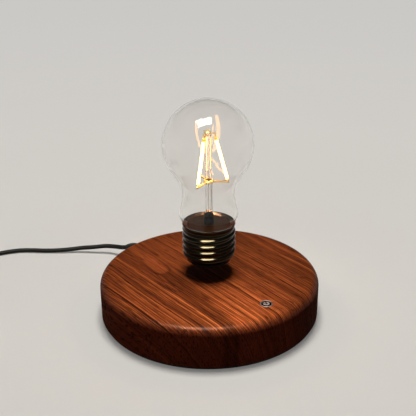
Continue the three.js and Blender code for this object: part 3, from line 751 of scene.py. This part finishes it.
def make_screws():
    """Countersunk screws with a cross in the head and a thread."""
    shank, pitch = 0.0013, 0.0009
    for k in range(1, 5):
        low, high, centre, head = node_box(f"plate_screw_{k}")
        outline = [(0, low.z), (head - 0.0001, low.z), (head, low.z + 0.0001), (shank, low.z + 0.0012)]
        level = low.z + 0.002
        while level < high.z - 0.0012:
            outline += [(shank * 0.8, level), (shank, level + pitch / 2)]
            level += pitch
        outline += [(0, high.z)]
        screw = new_object(f"screw_{k}", revolve(outline, 32, centre=centre), smooth_angle=25)
        cutters = []
        for turn in (0.0, pi / 2):
            bm = bmesh.new()
            place = Matrix.Translation((centre.x, centre.y, low.z)) @ Matrix.Rotation(turn, 4, "Z")
            add_box(bm, place, (0.0032, 0.0007, 0.0016))
            cutters.append(new_object("slot", bm))
        carve(screw, *cutters)
        dress(screw, "bright_steel", "base", f"plate_screw_{k}")


make_wood()
make_plate()
make_feet()
make_screws()


# Button: the ring, the cap and the power symbol printed on it

def make_button_ring():
    low, high, _, outer = node_box("button_bezel")
    inner, body, seat = 0.0035, 0.00395, base_top - 0.0003
    middle, half, roundness = (outer + inner) / 2, (outer - inner) / 2, 0.00028
    outline = [(inner, low.z), (body, low.z), (body, seat), (outer, seat)]
    outline += arc((middle, high.z - roundness), half, 0, pi, 8, roundness / half)
    turned("button_ring", outline, 96, "bezel_metal", "base", "button_bezel", closed=True,
           centre=button_centre)


def make_button_cap():
    """The cap, a little dished, with the flange that keeps it under the ring."""
    low, high, _, flange = node_box("button_cap")
    radius, neck, dish = 0.0032, low.z + 0.0007, 0.00006
    outline = [(0, low.z), (flange, low.z), (flange, neck), (radius, neck), (radius, high.z),
               (radius - 0.0003, high.z), (0, high.z - dish)]
    turned("button_face", outline, 96, "button_face", "button", "button_cap", corner=0.00015,
           centre=button_centre)


def make_power_symbol():
    """An open ring with a bar in its gap."""
    radius, line, gap_angle = 0.0015, 0.0012, radians(48)
    bar_width, bar_length, bar_middle = 0.0006, 0.0020, 0.0014
    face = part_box("button_cap")[1].z
    low, high = face - 0.00012, face + 0.00003
    inner, outer = radius - line / 2, radius + line / 2
    bm = bmesh.new()
    start, end = pi / 2 + gap_angle, pi / 2 + FULL_TURN - gap_angle
    sections = []
    for near, far in zip(*(arc(button_centre, reach, start, end, 40) for reach in (inner, outer))):
        corners = ((*near, low), (*far, low), (*far, high), (*near, high))
        sections.append([bm.verts.new(corner) for corner in corners])
    skin_bar(bm, sections)
    bar_place = Vector((button_centre.x, button_centre.y + bar_middle, (low + high) / 2))
    add_box(bm, Matrix.Translation(bar_place), (bar_width, bar_length, high - low))
    dress(new_object("power_symbol", bm), "bezel_metal", "button", material=print_grey)


make_button_ring()
make_button_cap()
make_power_symbol()


# Bulb: heights are from its lowest point

neck_points = [(0.0176, 0.0274), (0.0190, 0.0306), (0.0197, 0.0340), (0.0186, 0.0402), (0.0174, 0.0470),
               (0.0183, 0.0542), (0.0217, 0.0604), (0.02586, 0.0668)]
globe_radius = 0.0298
globe_centre = 0.0816
glass_thickness = 0.0008


def glass_outline():
    """The envelope's outline: down outside from the top, round the lip, and up inside."""
    outer = catmull(neck_points, 8)
    start = atan2(neck_points[-1][1] - globe_centre, neck_points[-1][0])
    dome = arc((0, globe_centre), globe_radius, start, pi / 2, 44)
    outer += [Vector(point) for point in dome[1:-1]]
    inner = []
    for before, at, after in zip(outer[:1] + outer, outer, outer[1:] + outer[-1:]):
        along = (after - before).normalized()
        inner.append(at + glass_thickness * Vector((-along.y, along.x)))
    inner[0] = outer[0] - Vector((glass_thickness, 0))
    top = globe_centre + globe_radius
    points = [Vector((0, top)), *reversed(outer), *inner, Vector((0, top - glass_thickness))]
    return [(p.x, bulb_foot + p.y) for p in points]


thread_pitch = 0.00447
thread_middle = 0.01725
thread_depth = 0.00065
thread_low, thread_high = 0.0046, 0.0246
thread_fade = 0.0016
crest_at_zero_angle = 0.0036
crest_half_width = 0.09
flank_width = 0.30
flank_straightness = 0.45


def thread_wave(phase):
    """One turn's profile, 1 on the crest and -1 in the root, with straight flanks and rounded corners."""
    from_crest = abs((phase + 0.5) % 1.0 - 0.5)
    t = min(max((from_crest - crest_half_width) / flank_width, 0.0), 1.0)
    return 1 - 2 * (flank_straightness * t + (1 - flank_straightness) * t * t * (3 - 2 * t))


def make_cap():
    """The screw cap: its thread between a turned-in foot and a rolled rim."""
    sides, rows = 256, 150
    below = [(0.0149, 0.0022), (0.0155, 0.0022), (0.0159, 0.0027), (0.0163, 0.0034), (0.0167, 0.0040)]
    above = [(0.0174, 0.0250), (0.0175, 0.0254), (0.0177, 0.0259), (0.0179, 0.0263), (0.0180, 0.0267),
             (0.01798, 0.0270), (0.0179, 0.02728), (0.0177, 0.0274), (0.0172, 0.0274), (0.0170, 0.02732),
             (0.0169, 0.0271), (0.0169, 0.0249), (0.0157, 0.0249), (0.0157, 0.0052)]
    bm = bmesh.new()
    rings = [[] for _ in range(len(below) + rows + 1 + len(above))]
    for k in range(sides):
        angle = k * FULL_TURN / sides
        section = list(below)
        for row in range(rows + 1):
            height = thread_low + (thread_high - thread_low) * row / rows
            fade = smoothstep(height, thread_low, thread_low + thread_fade)
            fade *= 1 - smoothstep(height, thread_high - thread_fade, thread_high)
            wave = thread_wave((height - crest_at_zero_angle) / thread_pitch - angle / FULL_TURN)
            section.append((thread_middle + thread_depth * wave * fade, height))
        section += above
        for ring, (radius, height) in zip(rings, section):
            ring.append(bm.verts.new((*polar(radius, angle), bulb_foot + height)))
    skin_rings(bm, rings, closed=True)
    dress(new_object("screw_cap", bm, smooth_angle=60), "black_nickel", "bulb", "cap_shell")


def make_cap_insides():
    """The insulator under the cap, the disc in it with a ring round it, and the post."""
    cup = [(0, 0), (0.0142, 0), (0.015, 0.0007), (0.0152, 0.0019), (0.0146, 0.0019),
           (0.0146, 0.009), (0.0139, 0.009), (0.0139, 0.0014), (0, 0.0014)]
    cup = [(radius, bulb_foot + height) for radius, height in cup]
    turned("cap_insulator", cup, 128, "black_plastic", "bulb", "insulator_cup", corner=0.0003)

    radius, lip = disc_high.x, disc_high.z
    floor_radius, floor = 0.0149, post_low.z
    disc = [(0, disc_low.z), (radius, disc_low.z), (radius, lip - 0.0002), (radius - 0.0003, lip - 0.0002),
            (floor_radius, floor - 0.0002), (0, floor - 0.0002)]
    turned("cap_floor", disc, 160, "black_nickel", "bulb", "cap_disc", corner=0.0002, material=satin_nickel)
    ring = [(floor_radius - 0.0002, floor - 0.0003), (radius, lip - 0.0004), (radius, lip),
            (radius - 0.0003, lip), (floor_radius - 0.0002, floor)]
    turned("cap_inner_ring", ring, 160, "black_nickel", "bulb", closed=True, material=ring_nickel)

    radius = post_high.x
    post = [(0, post_low.z), (radius, post_low.z), (radius, post_high.z - 0.0007),
            (radius - 0.0005, post_high.z), (0, post_high.z)]
    turned("post", post, 64, "black_plastic", "bulb", "stem_post", corner=0.0003, material=post_black)


turned("glass_bulb", glass_outline(), 192, "clear_glass", "bulb", "glass_envelope", smooth_angle=60)
make_cap()
make_cap_insides()


# Light source: the glass stem, its wires, the brackets and the filaments

def make_stem():
    """The glass stem with its flared foot, and the two wires in it."""
    low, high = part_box("glass_stem")
    flare, outer, inner = high.x, 0.0019, 0.0012
    outline = [(inner, low.z), (flare, low.z), (flare, low.z + 0.0004), (outer + 0.0001, low.z + 0.0014),
               (outer, low.z + 0.0024), (outer, high.z - 0.0005), (outer - 0.0003, high.z), (inner, high.z)]
    turned("stem", outline, 48, "clear_glass", "bulb", "glass_stem", closed=True, smooth_angle=50)
    steps = 24
    for k in (1, 2):
        low, high, centre, radius = node_box(f"lead_wire_{k}")
        points = [Vector((centre.x, 0, low.z + (high.z - low.z) * i / steps)) for i in range(steps + 1)]
        wire = new_object(f"wire_{k}", sweep(points, lambda share: radius, 16))
        dress(wire, "bright_steel", "bulb", f"lead_wire_{k}")


filament_count = 3
first_filament = radians(79)
lit_bottom = Vector((0.0124, 0.0, 0.0582))
lit_top = Vector((0.0053, 0.0, 0.0845))
filament_radius = 0.00085
bottom_hub_top = 0.0569
top_hub_underside = 0.0890
hub_gap = 0.0003
tab_gap = 0.0001


def filament_turn(k):
    return Matrix.Rotation(first_filament + k * FULL_TURN / filament_count, 4, "Z")


def make_filaments():
    """Slanting rods: a lit stretch, a dull coat past both its ends, and a thin tab to each bracket."""
    slant = (lit_top - lit_bottom).normalized()
    lit_length = (lit_top - lit_bottom).length
    foot = (bottom_hub_top + hub_gap - lit_bottom.z) / slant.z + tab_gap
    head = (top_hub_underside - hub_gap - lit_bottom.z) / slant.z - tab_gap
    place = Matrix.Translation(lit_bottom + Vector((0, 0, bulb_foot)))
    turn = slant.to_track_quat("Z", "X").to_matrix().to_4x4()
    tab, end_radius = 0.0004, filament_radius - 0.0002
    coat_low, coat_high = -0.0006, lit_length + 0.0024
    outline = [(0, foot), (tab, foot), (tab, coat_low), (end_radius, coat_low),
               (filament_radius, coat_low + 0.0002), (filament_radius, 0.0), (filament_radius, lit_length),
               (filament_radius, coat_high - 0.0003), (end_radius, coat_high), (tab, coat_high),
               (tab, head), (0, head)]
    for k in range(filament_count):
        bm = revolve(outline, 32)
        for face in bm.faces:
            heights = [v.co.z for v in face.verts]
            inside = min(heights) > -TINY and max(heights) < lit_length + TINY
            coated = min(heights) > coat_low - 0.0001 and max(heights) < coat_high + 0.0001
            face.material_index = 0 if inside else 1 if coated else 2
        bmesh.ops.transform(bm, matrix=filament_turn(k) @ place @ turn, verts=bm.verts)
        rod = new_object(f"filament_rod_{k + 1}", bm)
        dress(rod, "phosphor", "bulb", f"filament_{k + 1}", material=lit)
        rod.data.materials.append(filament_end)
        rod.data.materials.append(bracket_metal)


def make_bracket(name, node, hub, arm, width, thickness):
    """A hub with a flat arm to every filament, along points in the XZ plane."""
    half = width / 2
    corners = ((-half, 0), (half, 0), (half, thickness), (-half, thickness))
    for k in range(filament_count):
        sections = []
        for x, z in arm:
            section = [filament_turn(k) @ Vector((x, y, z + up)) for y, up in corners]
            sections.append([hub.verts.new(corner) for corner in section])
        skin_bar(hub, sections)
    dress(new_object(name, hub, smooth_angle=30), "bright_steel", "bulb", node, material=bracket_metal)


def make_brackets():
    """A collar round the stem's upper part and a hub above it, each with its arms."""
    top = bulb_foot + bottom_hub_top
    low = top - 0.0012
    collar = [(0.0022, low), (0.0033, low), (0.0033, top), (0.0030, top + 0.0005), (0.0022, top + 0.0005)]
    thickness = 0.001
    reach, level = lit_bottom.x, top - thickness
    arm = [(0.0027, level), (0.5 * reach, level), (reach - 0.001, level), (reach + 0.001, level),
           (reach + 0.0013, level - 0.0003)]
    make_bracket("bottom_bracket", "bottom_hub", revolve(collar, 48, closed=True), arm, 0.0013, thickness)

    low, tip = (corner.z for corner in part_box("top_hub"))
    hub = bulb_foot + top_hub_underside
    crown = [(0, low), (0.0023, low), (0.0023, hub + 0.0009), (0.0017, hub + 0.0013),
             (0.0006, hub + 0.0015), (0.0005, tip - 0.0004), (0.0003, tip), (0, tip)]
    arm = [(0.001, hub), (0.003, hub), (lit_top.x - 0.0005, hub), (lit_top.x, hub)]
    make_bracket("top_bracket", "top_hub", revolve(rounded(crown, 0.0002), 48), arm, 0.0011, 0.0006)


make_stem()
make_filaments()
make_brackets()


# Plug, strain relief, lead, tie and adapter

def make_plug():
    """The plug's ribbed grip, and the tapered relief where the lead leaves it."""
    low, high, _, radius = node_box("plug_grip")
    groove, rib_pitch, first_rib = 0.0005, 0.0018, low.y + 0.0065
    outline = [(0, low.y), (radius - 0.0005, low.y), (radius, low.y + 0.0005), (radius, low.y + 0.006)]
    for k in range(5):
        start = first_rib + rib_pitch * k
        outline += [(radius - groove, start), (radius - groove, start + 0.0006), (radius, start + 0.0009),
                    (radius, start + 0.0015)]
    outline += [(radius - 0.0008, high.y - 0.0012), (radius - 0.0012, high.y), (0, high.y)]
    grip = turned("plug_body", outline, 64, "black_plastic", "base", "plug_grip", corner=0.0003)
    lay_along_y(grip, 0, jack_height)

    start_radius, end_radius = 0.0033, 0.0022
    route = [(0, 0.0863, 0.015), (0, 0.092, 0.0146), (-0.0001, 0.098, 0.013), lead_exit]

    def relief_radius(share):
        taper = start_radius + (end_radius - start_radius) * share
        ribbed = 0.08 < share < 0.92 and (share * 9) % 1.0 < 0.35
        return taper - (0.00035 if ribbed else 0.0)

    relief = new_object("lead_relief", sweep(catmull(route, 24), relief_radius, 32))
    dress(relief, "black_rubber", "base", "strain_relief")


def rounded_box(width, depth, height, corner, steps=6):
    """A box round the origin with round corners all over."""
    bm = bmesh.new()
    bmesh.ops.create_cube(bm, size=1)
    bmesh.ops.scale(bm, vec=(width, depth, height), verts=bm.verts)
    bmesh.ops.bevel(bm, geom=bm.edges[:], offset=corner, segments=steps, profile=0.5, affect="EDGES")
    return bm


def make_adapter():
    """The adapter's case with a seam round its middle, its ribbed relief and its two pins."""
    low, high, centre, _ = node_box("power_adapter")
    relief_length, seam = 0.024, 0.0004
    width, depth, height = high.x - low.x, high.y - low.y - relief_length, high.z - low.z
    centre.y = low.y + depth / 2
    body = new_object("adapter_body", rounded_box(width, depth, height, 0.0035))
    body.data.transform(Matrix.Translation(centre))
    groove = new_object("groove", rounded_box(width + 0.01, depth + 0.01, seam, 0.0001, 1))
    core = new_object("core", rounded_box(width - 2 * seam, depth - 2 * seam, 3 * seam, 0.0001, 1))
    carve(groove, core)
    groove.data.transform(Matrix.Translation(centre))
    carve(body, groove)
    dress(body, "black_plastic", "base", "power_adapter")

    start = high.y - relief_length - 0.002
    outline = [(0, start), (0.0042, start), (0.0042, start + 0.004)]
    for k in range(6):
        level = start + 0.005 + 0.0028 * k
        taper = 0.0041 - 0.00028 * k
        outline += [(taper - 0.0006, level), (taper - 0.0006, level + 0.0008), (taper, level + 0.001),
                    (taper - 0.0002, level + 0.0024)]
    outline += [(0.0023, high.y), (0, high.y)]
    relief = turned("adapter_relief", outline, 48, "black_rubber", "base", corner=0.0003)
    lay_along_y(relief, centre.x, centre.z)

    for k in (1, 2):
        low, high, middle, radius = node_box(f"adapter_pin_{k}")
        inner, tip = radius - 0.0002, -low.y
        outline = [(0, -high.y), (radius, -high.y), (radius, tip - 0.0085), (inner, tip - 0.0083),
                   (inner, tip - 0.0012), (radius - 0.0012, tip), (0, tip)]
        pin = turned(f"mains_pin_{k}", outline, 48, "bright_steel", "base", f"adapter_pin_{k}",
                     corner=0.0002)
        lay_along_y(pin, middle.x, middle.z, pi / 2)
    return body, relief


def make_tie():
    """A flat strap round the coil's section."""
    width, thickness, clearance, corner = 0.006, 0.0008, 0.0006, 0.0016
    span = coil_pitch * coil_turns / coil_layers + lead_diameter + clearance
    tall = (coil_layers - 1) * coil_pitch + lead_diameter + clearance
    paths = []
    for outset in (0.0, thickness):
        half_span, half_tall = span / 2 + outset, tall / 2 + outset
        reach = corner + outset * 0.5
        path = []
        for quarter, (sx, sz) in enumerate(((1, 1), (-1, 1), (-1, -1), (1, -1))):
            middle = (sx * (half_span - reach), sz * (half_tall - reach))
            path += arc(middle, reach, quarter * pi / 2, (quarter + 1) * pi / 2, 12)
        paths.append(path)
    inner, outer = paths
    bm = bmesh.new()
    sections = []
    for side, path in ((-1, inner), (-1, outer), (1, outer), (1, inner)):
        sections.append([bm.verts.new((x, side * width / 2, z)) for x, z in path])
    skin_rings(bm, sections, closed=True)
    tie = new_object("strap_tie", bm, smooth_angle=40)
    place = Matrix.Translation((coil_centre.x, coil_centre.y, table_gap + tall / 2 + thickness))
    place = place @ Matrix.Rotation(tie_angle, 4, "Z") @ Matrix.Translation((coil_mean_radius, 0, 0))
    tie.data.transform(place)
    return dress(tie, "black_plastic", "base", "cord_tie")


make_plug()
adapter_body, adapter_relief = make_adapter()
tie = make_tie()
lead = dress(make_lead(), "black_rubber", "base", "cord_run", "cord_coil")


# Studio: a pale floor, a sky, a lamp that lights the surfaces, and one that gloss and glass mirror

camera_right = Vector((camera_heading.y, -camera_heading.x, 0))
lamp_height = 1.08
lamp_radiance = 33.0
studio_white = (1.0, 0.98, 0.95, 1)
background_level = 0.60
far_floor_level = 0.563
near_floor_level = 0.15
zenith_level = 0.10
sky_light_level = 0.012
horizon_low, horizon_high = 0.17, 0.33


def make_floor():
    """A floor whose glow only shows, and is weaker where the lamp lights it, so that it looks even."""
    bm = bmesh.new()
    bmesh.ops.create_grid(bm, x_segments=2, y_segments=2, size=6)
    floor = new_object("floor", bm)
    shader = Shader("floor", (0.6, 0.58, 0.56), Roughness=0.7, Specular_IOR_Level=0.2)
    rays = shader.node("LightPath").outputs
    seen = shader.math("MAXIMUM", rays["Is Camera Ray"], rays["Is Glossy Ray"])
    seen = shader.math("MAXIMUM", seen, rays["Is Transmission Ray"])
    distance = shader.node("VectorMath", {0: shader.coordinates()}, operation="LENGTH").outputs["Value"]
    spread_out = shader.scaled(shader.times(distance, distance), lamp_height ** -2, 1.0)
    lit_by_lamp = shader.math("POWER", spread_out, -2.0)
    fill = shader.scaled(lit_by_lamp, near_floor_level - far_floor_level, far_floor_level)
    patches = shader.noise(shader.coordinates(), 3, 3.0)
    pale = shader.blend(patches, (0.56, 0.55, 0.535), (0.60, 0.59, 0.575))
    shader.set("Base Color", shader.blend(seen, (0.22, 0.20, 0.18), pale))
    shader.set("Emission Color", studio_white)
    shader.set("Emission Strength", shader.times(seen, fill))
    floor.data.materials.append(shader.material)


def above(ahead, right):
    """A place at the lamps' height, ahead and right of the base as the camera looks."""
    return camera_heading * ahead + camera_right * right + Vector((0, 0, lamp_height))


def make_softbox(name, place, target, width, depth, turn, colour, mirrored):
    """A rectangular lamp. A mirrored one shows in gloss and glass, the other kind lights the surfaces."""
    light = bpy.data.lights.new(name, "AREA")
    light.shape = "RECTANGLE"
    light.size = width
    light.size_y = depth
    light.energy = lamp_radiance * pi * width * depth
    light.color = colour
    made = placed(name, light)
    aim(made, place, Vector(target) - place, turn)
    made.visible_camera = False
    made.visible_diffuse = not mirrored
    made.visible_glossy = mirrored
    made.visible_transmission = mirrored


def make_sky():
    """Pale at the horizon where it is seen, and dim overhead and as a light."""
    world = bpy.data.worlds.new("sky")
    sky = Nodes(world)
    height = sky.split(sky.node("TexCoord").outputs["Generated"])[2]
    seen = sky.spread(height, horizon_low, horizon_high, background_level, zenith_level)
    lights = sky.node("LightPath").outputs["Is Diffuse Ray"]
    background = sky.tree.nodes["Background"].inputs
    sky.put(background["Color"], studio_white)
    sky.put(background["Strength"], sky.blend_values(lights, seen, sky_light_level))
    bpy.context.scene.world = world


make_floor()
make_softbox("overhead", above(-0.269, -0.133), (0, 0, 0.08), 0.606, 0.365, radians(36),
             (1.0, 0.98, 0.83), mirrored=True)
make_softbox("key", above(0.06, 0.0), (0, 0, 0.03), 0.30, 0.30, 0.0, (1.0, 0.97, 0.92), mirrored=False)
make_sky()

bpy.context.scene.view_settings.view_transform = "Standard"
